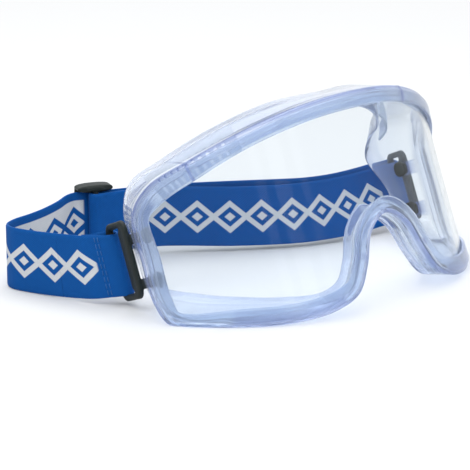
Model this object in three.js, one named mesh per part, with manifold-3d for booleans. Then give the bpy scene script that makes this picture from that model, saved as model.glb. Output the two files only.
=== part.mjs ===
// Safety goggles with a wrap-round lens, a soft PVC frame, two strap clips and an elastic head strap.
// Millimetres, +Z up. The frame is drawn upright, then leaned back onto its lower rim as it rests on a table.
// +X is the wearer's left, the lens faces -Y, and z = 0 is the table. Dimensions are from the plane of
// symmetry and the foremost line of the rim, and the finished group is moved over the origin last.
import * as THREE from "three";
import { mergeVertices } from "three/addons/utils/BufferGeometryUtils.js";
import Module from "manifold-3d";

const wasm = await Module();
wasm.setup();

// Lens and rim
const LENS_RADIUS = 100.3; // cylinder that the rim's front face lies on
const LENS_THICK = 2.0;
const LENS_DEPTH = 1.9; // lens face below the rim's front face
const LENS_INSET = 3.4; // lens edge in from the rim's outer ridge
const GROOVE_INSET = 3.0;
const GROOVE_FRONT = 1.6;
const GROOVE_BACK = 4.2;
const RIM_DEPTH = 6.6;
const REAR_LIP_BACK = 1.2; // rear lip stands back from the front lip's edge
const WALL = 2.2;
const FLANGE_THICK = 1.6;
const STATION_STEPS = 5; // mesh steps between two control stations
const LENS_COLUMNS = 56;

// Rest on the table
const LEAN = THREE.MathUtils.degToRad(21.6);
const LIFT = 4.5;

// Half of each outline, from the brow's centre round the temple to the nose arch's centre.
// Ridge: x, z. Rim width. Rear corner and free edge of the face flange: x, y, z.
const STATIONS = [
  { ridge: [0, 81], rim: 6.6, corner: [0, 22, 85.2], edge: [0, 22.3, 76.6] },
  { ridge: [26, 79.8], rim: 6.4, corner: [23, 25.4, 85.4], edge: [22, 25.5, 76.6] },
  { ridge: [50, 75.8], rim: 6.4, corner: [45, 35.8, 81.4], edge: [43, 35.5, 72.8] },
  { ridge: [68, 70.5], rim: 7.4, corner: [61, 50.1, 74.9], edge: [57.5, 48.5, 67.4] },
  { ridge: [80.5, 64.8], rim: 8.2, corner: [69.5, 62.1, 69.2], edge: [64.5, 61.5, 63.2] },
  { ridge: [85.3, 56], rim: 6.8, corner: [72.5, 66.5, 58.5], edge: [66.3, 67.2, 56] },
  { ridge: [85.7, 38], rim: 7.3, corner: [74.8, 62.9, 41], edge: [70.2, 63.4, 41] },
  { ridge: [85.6, 21.5], rim: 7.4, corner: [73.6, 61.8, 26.6], edge: [68.8, 61.6, 29] },
  { ridge: [83.2, 12], rim: 6.4, corner: [63, 53, 18.8], edge: [58.5, 50.5, 21] },
  { ridge: [65.5, 4.6], rim: 7.4, corner: [53, 41, 13.4], edge: [50, 39.5, 16.2] },
  { ridge: [48, 1.2], rim: 7.4, corner: [41, 29, 8.7], edge: [39.5, 28.5, 12] },
  { ridge: [34, 1.6], rim: 7.3, corner: [30, 17, 4.6], edge: [28.5, 19, 9.8] },
  { ridge: [23, 5.6], rim: 7, corner: [20.5, 13, 6.6], edge: [21, 16.5, 12.3] },
  { ridge: [16.2, 15], rim: 6.6, corner: [13.8, 12, 16.5], edge: [16.4, 15.5, 19] },
  { ridge: [10, 27], rim: 6.4, corner: [7.5, 11.5, 27.6], edge: [10.8, 14.5, 31.2] },
  { ridge: [0, 32.5], rim: 6.4, corner: [0, 11.5, 32.2], edge: [0, 14.5, 38] },
];

// Strap clips: a ring for the strap, with two lobed heads pushed through slots in the side wall
const WALL_POINT = [77.3, 57.6]; // middle of the side wall where a clip's stems cross it, x and y
const WALL_ANGLE = Math.atan2(19, -13.6); // the side wall's direction in plan
const RING_ANGLE = THREE.MathUtils.degToRad(87); // the ring's direction in plan when it isn't swung
const RING_LENGTH = 13.5; // between the middles of the front and rear bars
const REST_SWING = THREE.MathUtils.degToRad(-20); // the strap holds both clips swung this way
const RING_Z = 40.6;
const RING_HEIGHT = 30.6;
const RING_BAR = 3;
const RING_THICK = 2.6;
const WINDOW_HEIGHT = 25.4;
const STEM_Z = 39.2; // middle height of the two stems
const STEM_SPACING = 17.5;
const STEM_WIDTH = 2.4;
const STEM_HEIGHT = 4;
const HEAD_GAP = 1.9; // between a head and the wall's inner face
const HEAD_THICK = 1.8;
const HEAD_RADIUS = 3.2;
const HEAD_FORWARD = 0.7; // heads reach forward of their stems
const BAR_GAP = 1.3; // between the front bar and the wall's outer face
const SLOT_WIDTH = 4.4;
const SLOT_HEIGHT = 5;

// Head strap
const STRAP_WIDTH = 25;
const STRAP_THICK = 1.2;
const STRAP_Z = 12.5; // strap's middle where it stands on the table
const SLIDER_Z = 16; // strap's middle where the slider holds it up
const TILT_RADIUS = 14.2; // the end loop stops on this radius about the tilt axis
const RIGHT_GAP = 1.8; // between the sewn end and the band, so that they clear as the clip swings
const LEFT_LEG = 4; // the left loop's legs from the clip's bar
const LEFT_END_X = 75.7; // where the band and the return stop, clear of the left loop as it swings

// Slider
const SLIDER_START = [-50, 137.5];
const SLIDER_END = [-15, 121.9];
const SLIDER_X = -42.3;
const END_TAIL = 7.3; // sewn end's reach from the centre bar
const RETURN_OFFSET = -3.4; // inner layer's middle from the outer layer's middle, at the slider
const SLIDER_LENGTH = 15;
const SLIDER_BAR = 2.6;
const SLIDER_HEIGHT = 31.6;
const SLIDER_GAP = 0.3;
const SLIDER_SIDE = 2; // thickness of a bar

// Vent covers, placed along the brow by control station
const VENT_FROM = 1.8;
const VENT_TO = 3.7;
const VENT_STEPS = 12;
const VENT_GAP = 0.3;
const VENT_FORWARD = 2.4;
const VENT_DROP = 8.5;
const VENT_THICK = 1.2;

// Middle of the webbing: x, y, z and lean. 1 leans with the clips, 0 stands upright.
const STRAP_PATH = [
  [-75.3, 83, 15.2, 1],
  [-83.9, 89.7, 14.2, 0.9],
  [-88.2, 104.6, 12.8, 0.4],
  [-91.7, 117, STRAP_Z, 0.05],
  [-93, 125, STRAP_Z, 0],
  [-91, 130, STRAP_Z, 0],
  [-85, 132.9, 12.6, 0],
  [-76, 133.8, 12.9, 0],
  [-68, 134.2, 13.7, 0],
  [-60, 135.2, 14.9, 0],
  [-54.5, 136.8, 15.8, 0],
  [-50, 137.5, SLIDER_Z, 0],
  [-46, 135.72, SLIDER_Z, 0],
  [-32, 129.48, SLIDER_Z, 0],
  [-15, 121.9, SLIDER_Z, 0],
  [0, 112.4, SLIDER_Z, 0],
  [14, 102.8, 15.9, 0.05],
  [27, 95.2, 15.4, 0.2],
  [38, 90, 14.9, 0.5],
  [52, 86.8, 14.6, 0.85],
  [66, 85, 15, 1],
  [LEFT_END_X, 83.9, 15.7, 1],
];
const RETURN_PATH = [
  [-35.6, 127.3, SLIDER_Z, 0],
  [-17, 119, 15.8, 0],
  [6.4, 101, 14.8, 0.1],
  [30, 87.6, 14.2, 0.4],
  [53, 81.8, 14.2, 0.85],
  [69.2, 80, 14.9, 1],
  [LEFT_END_X, 78.7, 15.7, 1],
];

const pvc = new THREE.MeshStandardMaterial({ color: 0xb4bfe4, roughness: 0.3 });
const polycarbonate = new THREE.MeshStandardMaterial({ color: 0xeef3fa, roughness: 0.05 });
const nylon = new THREE.MeshStandardMaterial({ color: 0x3a403a, roughness: 0.5 });
const webbing = new THREE.MeshStandardMaterial({ color: 0x0b58aa, roughness: 0.85 });
const ventPlastic = new THREE.MeshStandardMaterial({ color: 0xd2d7e0, roughness: 0.4 });

const goggles = new THREE.Group();

const vec = (x, y, z) => new THREE.Vector3(x, y, z);

// Upright frame to table: the top leans back, and the lower rim comes down to z = 0.
const leaned = new THREE.Matrix4().makeRotationX(-LEAN);
leaned.premultiply(new THREE.Matrix4().makeTranslation(0, 0, LIFT));
const onTable = (p) => p.clone().applyMatrix4(leaned);

function solidOf(geometry) {
  const bare = geometry.clone();
  bare.deleteAttribute("normal");
  bare.deleteAttribute("uv");
  const merged = mergeVertices(bare, 1e-4);
  const mesh = new wasm.Mesh({
    numProp: 3,
    vertProperties: new Float32Array(merged.attributes.position.array),
    triVerts: new Uint32Array(merged.index.array),
  });
  return new wasm.Manifold(mesh);
}

function geometryOf(solid) {
  const mesh = solid.getMesh();
  const geometry = new THREE.BufferGeometry();
  geometry.setAttribute("position", new THREE.BufferAttribute(mesh.vertProperties, 3));
  geometry.setIndex(new THREE.BufferAttribute(mesh.triVerts, 1));
  geometry.computeVertexNormals();
  return geometry;
}

function addPiece(name, geometry, material) {
  const mesh = new THREE.Mesh(geometry, material);
  mesh.name = name;
  goggles.add(mesh);
}

// A skin through rings of points: each ring joins the next, and caps close it unless it runs round.
function skin(rings, runsRound) {
  const count = rings[0].length;
  const positions = rings.flat().flatMap((p) => [p.x, p.y, p.z]);
  const index = [];
  const last = runsRound ? rings.length : rings.length - 1;
  for (let i = 0; i < last; i++) {
    const next = (i + 1) % rings.length;
    for (let j = 0; j < count; j++) {
      const k = (j + 1) % count;
      const a = i * count + j;
      const b = i * count + k;
      const c = next * count + k;
      const d = next * count + j;
      index.push(a, c, b, a, d, c);
    }
  }
  if (!runsRound) {
    const end = (rings.length - 1) * count;
    for (let j = 1; j < count - 1; j++) {
      index.push(0, j, j + 1);
      index.push(end, end + j + 1, end + j);
    }
  }
  const geometry = new THREE.BufferGeometry();
  geometry.setAttribute("position", new THREE.Float32BufferAttribute(positions, 3));
  geometry.setIndex(index);
  return geometry;
}

// Full closed outlines from the half stations.
const mirror = (p) => [-p[0], ...p.slice(1)];
const allStations = [
  ...STATIONS,
  ...STATIONS.slice(1, -1)
    .reverse()
    .map((s) => ({
      ridge: mirror(s.ridge),
      rim: s.rim,
      corner: mirror(s.corner),
      edge: mirror(s.edge),
    })),
];
const closedCurve = (points) => new THREE.CatmullRomCurve3(points, true, "centripetal");
const unrolled = (x) => LENS_RADIUS * Math.asin(x / LENS_RADIUS);
const ridgeCurve = closedCurve(allStations.map((s) => vec(unrolled(s.ridge[0]), s.ridge[1], s.rim)));
const cornerCurve = closedCurve(allStations.map((s) => vec(...s.corner)));
const edgeCurve = closedCurve(allStations.map((s) => vec(...s.edge)));

// A point at arc length s and height z, depth below the rim's front face.
function onCylinder(s, z, depth) {
  const angle = s / LENS_RADIUS;
  const r = LENS_RADIUS - depth;
  return vec(r * Math.sin(angle), LENS_RADIUS - r * Math.cos(angle), z);
}

// Ridge point and its outward direction in the unrolled face, at curve parameter t.
function ridgeAt(t) {
  const p = ridgeCurve.getPoint(t);
  const ahead = ridgeCurve.getPoint((t + 0.001) % 1);
  const behind = ridgeCurve.getPoint((t + 0.999) % 1);
  const along = vec(ahead.x - behind.x, ahead.y - behind.y, 0).normalize();
  return { s: p.x, z: p.y, rim: p.z, outX: -along.y, outZ: along.x };
}

function rimPoint(r, out, depth) {
  return onCylinder(r.s + r.outX * out, r.z + r.outZ * out, depth);
}

// One cross-section of the frame: rim with its lens groove, wall, and face flange.
function frameSection(t) {
  const r = ridgeAt(t);
  const corner = cornerCurve.getPoint(t);
  const edge = edgeCurve.getPoint(t);
  const ridge = rimPoint(r, 0, 1);
  const back = corner.clone().sub(ridge).normalize();
  const inward = edge.clone().sub(corner).normalize();
  const thickness = Math.min(WALL, edge.distanceTo(corner) * 0.5);
  const across = inward.clone().addScaledVector(back, -inward.dot(back)).normalize();
  const wallFront = ridge.clone().addScaledVector(back, RIM_DEPTH - 0.5);
  wallFront.addScaledVector(across, WALL);
  const insideBend = corner.clone().addScaledVector(inward, thickness);
  insideBend.addScaledVector(back, -FLANGE_THICK);
  const edgeFront = edge.clone().addScaledVector(back, -FLANGE_THICK);
  const rearLip = -r.rim + REAR_LIP_BACK;
  return [
    rimPoint(r, -r.rim, 0.3),
    rimPoint(r, -1, 0),
    ridge,
    corner,
    edge,
    edgeFront,
    insideBend,
    wallFront,
    rimPoint(r, rearLip, RIM_DEPTH),
    rimPoint(r, rearLip, GROOVE_BACK),
    rimPoint(r, -GROOVE_INSET, GROOVE_BACK),
    rimPoint(r, -GROOVE_INSET, GROOVE_FRONT),
    rimPoint(r, -r.rim, GROOVE_FRONT),
  ];
}

// A turned box in the upright frame: x along the side wall, y out of it, z up.
function wallBox(side, length, across, height, outward, z) {
  const box = new THREE.BoxGeometry(length, across, height);
  box.translate(0, outward, z);
  box.rotateZ(wallTurn(side));
  box.translate(side * WALL_POINT[0], WALL_POINT[1], 0);
  return box;
}

// Turn that takes +Y to the side wall's outward normal.
function wallTurn(side) {
  const right = WALL_ANGLE - Math.PI;
  return side > 0 ? right : -right;
}

function frameBody() {
  const count = allStations.length * STATION_STEPS;
  const rings = [];
  for (let i = 0; i < count; i++) rings.push(frameSection(i / count).map(onTable));
  let body = solidOf(skin(rings, true));
  for (const side of [-1, 1]) {
    for (const z of [-STEM_SPACING / 2, STEM_SPACING / 2]) {
      const slot = wallBox(side, SLOT_WIDTH, WALL * 4, SLOT_HEIGHT, 0, STEM_Z + z);
      slot.applyMatrix4(leaned);
      body = body.subtract(solidOf(slot));
    }
  }
  const table = new THREE.BoxGeometry(400, 400, 20);
  table.translate(0, 0, -10);
  return geometryOf(body.subtract(solidOf(table)));
}

// The lens: columns across the curved sheet, between the upper and lower halves of its outline.
function lensBody() {
  const upper = [];
  const lower = [];
  const half = STATIONS.length - 1;
  const turn = 6 / allStations.length; // parameter at the temple's widest point
  for (let i = 0; i <= 400; i++) {
    const t = (i / 400) * (half / allStations.length);
    const r = ridgeAt(t);
    const point = [r.s - r.outX * LENS_INSET, r.z - r.outZ * LENS_INSET];
    (t <= turn ? upper : lower).push(point);
  }
  const heightAt = (line, s) => {
    const ordered = line.slice().sort((a, b) => a[0] - b[0]);
    const k = Math.min(Math.max(ordered.findIndex((p) => p[0] >= s), 1), ordered.length - 1);
    const [a, b] = [ordered[k - 1], ordered[k]];
    return a[1] + ((b[1] - a[1]) * (s - a[0])) / (b[0] - a[0] || 1);
  };
  const reach = Math.max(...upper.map((p) => p[0])) - 0.6;
  const rings = [];
  for (let i = 0; i <= LENS_COLUMNS; i++) {
    const s = -reach + (2 * reach * i) / LENS_COLUMNS;
    const top = heightAt(upper, Math.abs(s));
    const bottom = heightAt(lower, Math.abs(s));
    rings.push(
      [
        onCylinder(s, top, LENS_DEPTH),
        onCylinder(s, top, LENS_DEPTH + LENS_THICK),
        onCylinder(s, bottom, LENS_DEPTH + LENS_THICK),
        onCylinder(s, bottom, LENS_DEPTH),
      ].map(onTable),
    );
  }
  return skin(rings, false);
}

// A vent cover hangs under the brow's wall, just in front of the face flange.
function ventCover(side) {
  const rings = [];
  for (let i = 0; i <= VENT_STEPS; i++) {
    const station = VENT_FROM + ((VENT_TO - VENT_FROM) * i) / VENT_STEPS;
    const t = station / allStations.length;
    const section = frameSection(t);
    const [corner, edge, bend, wallFront] = [section[3], section[4], section[6], section[7]];
    const inward = edge.clone().sub(corner).normalize();
    const forward = wallFront.clone().sub(bend).normalize();
    const top = bend.clone().addScaledVector(inward, VENT_GAP).addScaledVector(forward, VENT_FORWARD);
    const low = top.clone().addScaledVector(inward, VENT_DROP);
    const ring = [
      top,
      top.clone().addScaledVector(forward, VENT_THICK),
      low.clone().addScaledVector(forward, VENT_THICK),
      low,
    ];
    if (side < 0) ring.forEach((p) => (p.x = -p.x));
    rings.push((side > 0 ? ring.reverse() : ring).map(onTable));
  }
  return skin(rings, false);
}

// A rounded rectangle in X and Y, extruded along Z and centred on z = 0.
function roundedPlate(width, height, radius, thick, windows = []) {
  const rounded = (shape, w, h, r) => {
    shape.absarc(w / 2 - r, h / 2 - r, r, 0, Math.PI / 2);
    shape.absarc(-w / 2 + r, h / 2 - r, r, Math.PI / 2, Math.PI);
    shape.absarc(-w / 2 + r, -h / 2 + r, r, Math.PI, Math.PI * 1.5);
    shape.absarc(w / 2 - r, -h / 2 + r, r, Math.PI * 1.5, Math.PI * 2);
    return shape;
  };
  const shape = rounded(new THREE.Shape(), width, height, radius);
  for (const [w, h, r] of windows) shape.holes.push(rounded(new THREE.Path(), w, h, r));
  const options = { depth: thick, bevelEnabled: false, curveSegments: 5 };
  return new THREE.ExtrudeGeometry(shape, options).translate(0, 0, -thick / 2);
}

// The clip's ring stands outside the side wall. Unswung, it is a mirror image from side to side.
const wallNormal = [Math.cos(wallTurn(1) + Math.PI / 2), Math.sin(wallTurn(1) + Math.PI / 2)];
const barOutward = WALL / 2 + BAR_GAP + RING_THICK / 2;
const ringFront = WALL_POINT.map((p, i) => p + wallNormal[i] * barOutward);

function ringPlate(side, grow = 0) {
  const length = RING_LENGTH + RING_BAR;
  const hole = [length - 2 * RING_BAR - 2 * grow, WINDOW_HEIGHT - 2 * grow, 1.2];
  const size = [length + 2 * grow, RING_HEIGHT + 2 * grow, 3, RING_THICK + 2 * grow];
  const ring = roundedPlate(...size, [hole]);
  ring.rotateX(Math.PI / 2).translate(RING_LENGTH / 2, 0, 0).rotateZ(RING_ANGLE);
  ring.translate(ringFront[0], ringFront[1], RING_Z);
  if (side < 0) ring.scale(-1, 1, 1);
  return swung(facingOut(ring, side), side);
}

// Turns a clip's part about its stems to where it rests.
function swung(geometry, side) {
  geometry.translate(-side * WALL_POINT[0], -WALL_POINT[1], 0).rotateZ(REST_SWING);
  return geometry.translate(side * WALL_POINT[0], WALL_POINT[1], 0);
}

// Middle of the ring's rear bar, on the table.
function rearBar(side) {
  const x = ringFront[0] + RING_LENGTH * Math.cos(RING_ANGLE);
  const y = ringFront[1] + RING_LENGTH * Math.sin(RING_ANGLE);
  const bar = new THREE.BufferGeometry().setFromPoints([vec(side * x, y, RING_Z)]);
  const p = swung(bar, side).attributes.position;
  return onTable(vec(p.getX(0), p.getY(0), p.getZ(0)));
}

// The stems and heads cross the wall.
function clipBody(side) {
  let body = solidOf(ringPlate(side));
  const headOutward = -(WALL / 2 + HEAD_GAP + HEAD_THICK / 2);
  const stemLength = barOutward - headOutward;
  for (const z of [STEM_Z - STEM_SPACING / 2, STEM_Z + STEM_SPACING / 2]) {
    const middle = (barOutward + headOutward) / 2;
    const stem = wallBox(side, STEM_WIDTH, stemLength, STEM_HEIGHT, middle, z);
    const head = roundedPlate(HEAD_RADIUS * 1.7, HEAD_RADIUS * 2, HEAD_RADIUS * 0.8, HEAD_THICK);
    head.rotateX(Math.PI / 2);
    head.translate(side * HEAD_FORWARD, headOutward, z);
    head.rotateZ(wallTurn(side));
    head.translate(side * WALL_POINT[0], WALL_POINT[1], 0);
    body = body.add(solidOf(swung(stem, side))).add(solidOf(swung(head, side)));
  }
  return geometryOf(body).applyMatrix4(leaned);
}

// Mirroring turns a geometry inside out, so its triangles are turned back.
function facingOut(geometry, side) {
  if (side > 0) return geometry;
  const p = geometry.attributes.position.array;
  for (let i = 0; i < p.length; i += 9) {
    for (let k = 0; k < 3; k++) [p[i + 3 + k], p[i + 6 + k]] = [p[i + 6 + k], p[i + 3 + k]];
  }
  return geometry;
}

const rightBar = rearBar(-1);
const leftBar = rearBar(1);

// The head strap tilts about this line along X, midway between the rear bars of the two clips.
const TILT_Y = (rightBar.y + leftBar.y) / 2;
const TILT_Z = (rightBar.z + leftBar.z) / 2;

function tiltCylinder(radius) {
  const cylinder = new THREE.CylinderGeometry(radius, radius, -rightBar.x, 64);
  cylinder.rotateZ(Math.PI / 2).translate(rightBar.x, TILT_Y, TILT_Z);
  return solidOf(cylinder);
}

// A band of webbing along a path of [x, y, z, lean], where lean 1 is parallel to the clips.
function ribbon(path, steps) {
  const curve = new THREE.CatmullRomCurve3(path.map((p) => vec(p[0], p[1], p[2])), false, "centripetal");
  const leanCurve = new THREE.CatmullRomCurve3(path.map((p) => vec(p[3], 0, 0)));
  const rings = [];
  for (let i = 0; i <= steps; i++) {
    const t = i / steps;
    const p = curve.getPoint(t);
    const along = curve.getTangent(t);
    const lean = LEAN * leanCurve.getPoint(t).x;
    const side = vec(along.y, -along.x, 0).normalize().multiplyScalar(STRAP_THICK / 2);
    const up = vec(0, Math.sin(lean), Math.cos(lean)).multiplyScalar(STRAP_WIDTH / 2);
    rings.push([
      p.clone().add(side).sub(up),
      p.clone().add(side).add(up),
      p.clone().sub(side).add(up),
      p.clone().sub(side).sub(up),
    ]);
  }
  return skin(rings, false);
}

// Webbing round a clip's bar is drawn flat, then sheared back with the clip.
function shearedBack(geometry, bar) {
  const shear = new THREE.Matrix4().set(1, 0, 0, 0, 0, 1, Math.tan(LEAN), 0, 0, 0, 1, 0, 0, 0, 0, 1);
  return solidOf(geometry.applyMatrix4(shear).translate(bar.x, bar.y, bar.z));
}

const loopHeight = STRAP_WIDTH * Math.cos(LEAN);
const loopInside = Math.hypot(RING_BAR, RING_THICK) / 2 + 0.35;
const loopOutside = loopInside + STRAP_THICK;

function loopTube(radius, bar, extra = 0) {
  const tube = new THREE.CylinderGeometry(radius, radius, loopHeight + extra, 24);
  return shearedBack(tube.rotateX(Math.PI / 2), bar);
}

function loopBlock(fromX, toX, halfThick, turn, bar, extra = 0) {
  const block = new THREE.BoxGeometry(toX - fromX, 2 * halfThick, loopHeight + extra);
  block.translate((fromX + toX) / 2, 0, 0).rotateZ(turn);
  return shearedBack(block, bar);
}

// The webbing's edges are pinched in where it passes through the ring.
const clipRoom = (side) => solidOf(ringPlate(side, SLIDER_GAP).applyMatrix4(leaned));

// Right strap end: the webbing goes round the clip's bar and is sewn back on itself.
function rightStrapEnd() {
  const turn = Math.atan2(STRAP_PATH[1][1] - rightBar.y, STRAP_PATH[1][0] - rightBar.x);
  const tail = loopBlock(0, TILT_RADIUS * 2, STRAP_THICK + 0.1, turn, rightBar);
  const loop = loopTube(loopOutside, rightBar).add(tail).subtract(loopTube(loopInside, rightBar, 2));
  return geometryOf(loop.subtract(clipRoom(-1)).intersect(tiltCylinder(TILT_RADIUS)));
}

// Left strap loop: the webbing turns round the clip's bar and runs back inside itself.
function leftStrapLoop() {
  const legs = loopBlock(-LEFT_LEG, 0, loopOutside, 0, leftBar);
  const between = loopBlock(-LEFT_LEG - 2, 0, loopInside, 0, leftBar, 2);
  const loop = loopTube(loopOutside, leftBar).add(legs).subtract(between);
  return geometryOf(loop.subtract(loopTube(loopInside, leftBar, 2)).subtract(clipRoom(1)));
}

function strapBand() {
  const band = solidOf(ribbon(STRAP_PATH, 96));
  return geometryOf(band.subtract(tiltCylinder(TILT_RADIUS + RIGHT_GAP)));
}

// Slider parts are drawn along +X with +Y out of the strap, then turned onto the straight run.
const run = [SLIDER_END[0] - SLIDER_START[0], SLIDER_END[1] - SLIDER_START[1]];
const runTurn = Math.atan2(run[1], run[0]);
const onRun = (x) => SLIDER_START[1] + ((x - SLIDER_START[0]) * run[1]) / run[0];

function sliderBlock(fromX, toX, fromY, toY, height, z = 0) {
  const block = new THREE.BoxGeometry(toX - fromX, toY - fromY, height);
  block.translate((fromX + toX) / 2, (fromY + toY) / 2, z).rotateZ(runTurn);
  return solidOf(block.translate(SLIDER_X, onRun(SLIDER_X), SLIDER_Z));
}

const half = STRAP_THICK / 2;
const outerFace = half + SLIDER_GAP;
const centreFace = half + 2 * SLIDER_GAP + STRAP_THICK; // room for the sewn end round the centre bar

function sliderBody() {
  const reach = SLIDER_LENGTH / 2;
  const window = STRAP_WIDTH / 2 + SLIDER_GAP;
  const railHeight = SLIDER_HEIGHT / 2 - window;
  const lowest = -centreFace - SLIDER_SIDE;
  const bars = [
    [-reach, -reach + SLIDER_BAR, outerFace, outerFace + SLIDER_SIDE],
    [reach - SLIDER_BAR, reach, outerFace, outerFace + SLIDER_SIDE],
    [-SLIDER_BAR / 2, SLIDER_BAR / 2, lowest, -centreFace],
  ];
  let body = null;
  for (const sign of [-1, 1]) {
    const z = sign * (window + railHeight / 2);
    const rail = sliderBlock(-reach, reach, lowest, outerFace + SLIDER_SIDE, railHeight, z);
    body = body ? body.add(rail) : rail;
  }
  for (const b of bars) body = body.add(sliderBlock(...b, SLIDER_HEIGHT - railHeight));
  return geometryOf(body);
}

// The strap's inner end, sewn round the slider's centre bar.
function sliderEndLoop() {
  const inner = SLIDER_BAR / 2 + SLIDER_GAP;
  const outer = inner + STRAP_THICK;
  const far = -centreFace - SLIDER_SIDE - SLIDER_GAP;
  const loop = sliderBlock(-outer, outer, far - STRAP_THICK, -half - SLIDER_GAP, STRAP_WIDTH);
  const tail = sliderBlock(0, END_TAIL, RETURN_OFFSET - STRAP_THICK, RETURN_OFFSET + STRAP_THICK, STRAP_WIDTH);
  const hole = sliderBlock(-inner, inner, far, -half - SLIDER_GAP - STRAP_THICK, STRAP_WIDTH + 2);
  return geometryOf(loop.add(tail).subtract(hole));
}

addPiece("frame", frameBody(), pvc);
addPiece("lens", lensBody(), polycarbonate);
addPiece("right_vent_cover", ventCover(-1), ventPlastic);
addPiece("left_vent_cover", ventCover(1), ventPlastic);
addPiece("right_clip", clipBody(-1), nylon);
addPiece("left_clip", clipBody(1), nylon);
addPiece("right_strap_end", rightStrapEnd(), webbing);
addPiece("left_strap_loop", leftStrapLoop(), webbing);
addPiece("strap_band", strapBand(), webbing);
addPiece("strap_return", ribbon(RETURN_PATH, 48), webbing);
addPiece("slider", sliderBody(), nylon);
addPiece("slider_strap_end", sliderEndLoop(), webbing);

// The origin is on the table, under the middle of the whole object's box.
const box = new THREE.Box3().setFromObject(goggles);
goggles.position.set(-(box.min.x + box.max.x) / 2, -(box.min.y + box.max.y) / 2, 0);

export default goggles;
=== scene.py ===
# Safety goggles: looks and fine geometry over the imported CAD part.
# Shapes are laid out in millimetres in the part's drawing frame (x wearer's left, lens towards -y, z up,
# y = 0 at the rim's foremost line), leaned onto the table, and moved onto the CAD frame in metres.
import math

import bmesh
import bpy
import numpy as np
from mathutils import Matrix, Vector, geometry


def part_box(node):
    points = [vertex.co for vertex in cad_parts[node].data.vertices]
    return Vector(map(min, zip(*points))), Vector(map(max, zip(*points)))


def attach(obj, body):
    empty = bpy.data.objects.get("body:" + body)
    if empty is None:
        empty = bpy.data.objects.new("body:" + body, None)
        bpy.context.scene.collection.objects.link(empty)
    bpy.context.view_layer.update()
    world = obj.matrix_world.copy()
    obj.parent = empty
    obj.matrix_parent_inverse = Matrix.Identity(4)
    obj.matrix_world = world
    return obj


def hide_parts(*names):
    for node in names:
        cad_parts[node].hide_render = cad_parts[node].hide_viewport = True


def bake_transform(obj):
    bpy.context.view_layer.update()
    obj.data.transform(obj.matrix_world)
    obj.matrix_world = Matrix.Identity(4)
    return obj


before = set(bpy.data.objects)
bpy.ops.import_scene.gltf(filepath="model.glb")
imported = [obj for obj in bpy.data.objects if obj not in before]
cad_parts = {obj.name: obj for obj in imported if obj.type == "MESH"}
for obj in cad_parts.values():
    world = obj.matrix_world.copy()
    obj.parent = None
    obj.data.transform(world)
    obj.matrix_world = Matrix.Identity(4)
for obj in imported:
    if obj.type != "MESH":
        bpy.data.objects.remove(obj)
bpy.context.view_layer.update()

MM = 0.001

# ---------------------------------------------------------------- dimensions, mm
LENS_RADIUS = 100.3
LENS_THICK = 2.0
LENS_DEPTH = 1.9
LENS_INSET = 3.4
LUG_REACH = 1.0
GROOVE_INSET = 1.7
GROOVE_FRONT = 1.6
GROOVE_BACK = 4.2
RIM_DEPTH = 6.6
REAR_LIP_BACK = 1.2
WALL = 2.2
FLANGE_THICK = 1.6
LEAN = math.radians(21.6)
LIFT = 4.5

# Half outlines from the brow's centre to the nose arch's centre:
# ridge x and z, rim width, rear corner, flange edge.
STATIONS = [
    ((0, 81), 6.6, (0, 22, 85.2), (0, 22.3, 76.6)),
    ((26, 79.8), 6.4, (23, 25.4, 85.4), (22, 25.5, 76.6)),
    ((50, 75.8), 6.4, (45, 35.8, 81.4), (43, 35.5, 72.8)),
    ((68, 70.5), 7.4, (61, 50.1, 74.9), (57.5, 48.5, 67.4)),
    ((80.5, 64.8), 8.2, (69.5, 62.1, 69.2), (64.5, 61.5, 63.2)),
    ((85.3, 56), 6.8, (72.5, 66.5, 58.5), (66.3, 67.2, 56)),
    ((85.7, 38), 7.3, (74.8, 62.9, 41), (70.2, 63.4, 41)),
    ((85.6, 21.5), 7.4, (73.6, 61.8, 26.6), (68.8, 61.6, 29)),
    ((83.2, 12), 6.4, (63, 53, 18.8), (58.5, 50.5, 21)),
    ((65.5, 4.6), 7.4, (53, 41, 13.4), (50, 39.5, 16.2)),
    ((48, 1.2), 7.4, (41, 29, 8.7), (39.5, 28.5, 12)),
    ((34, 1.6), 7.3, (30, 17, 4.6), (28.5, 19, 9.8)),
    ((23, 5.6), 7.0, (20.5, 13, 6.6), (21, 16.5, 12.3)),
    ((16.2, 15), 6.6, (13.8, 12, 16.5), (16.4, 15.5, 19)),
    ((10, 27), 6.4, (7.5, 11.5, 27.6), (10.8, 14.5, 31.2)),
    ((0, 32.5), 6.4, (0, 11.5, 32.2), (0, 14.5, 38)),
]
STATION_COUNT = 2 * (len(STATIONS) - 1)
RING_STEPS = 9  # mesh steps between two stations
CORNER_STEPS = 4  # mesh steps round a corner of the section
SEAMS = (1.2, 26.87)  # stations of the mould seams across the rim
SEAM_HEIGHT = 0.28
SEAM_WIDTH = 0.03  # stations
# Lens lugs seated in the rim's groove: station and half length in stations
LUGS = [(1.35, 0.12), (3.1, 0.12), (7.4, 0.14), (10.1, 1.3)]
SHADED_LUGS = [(10.1, 1.3), (13.2, 0.12)]  # painted shade on the rim where the lens lugs show through its edge
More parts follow.
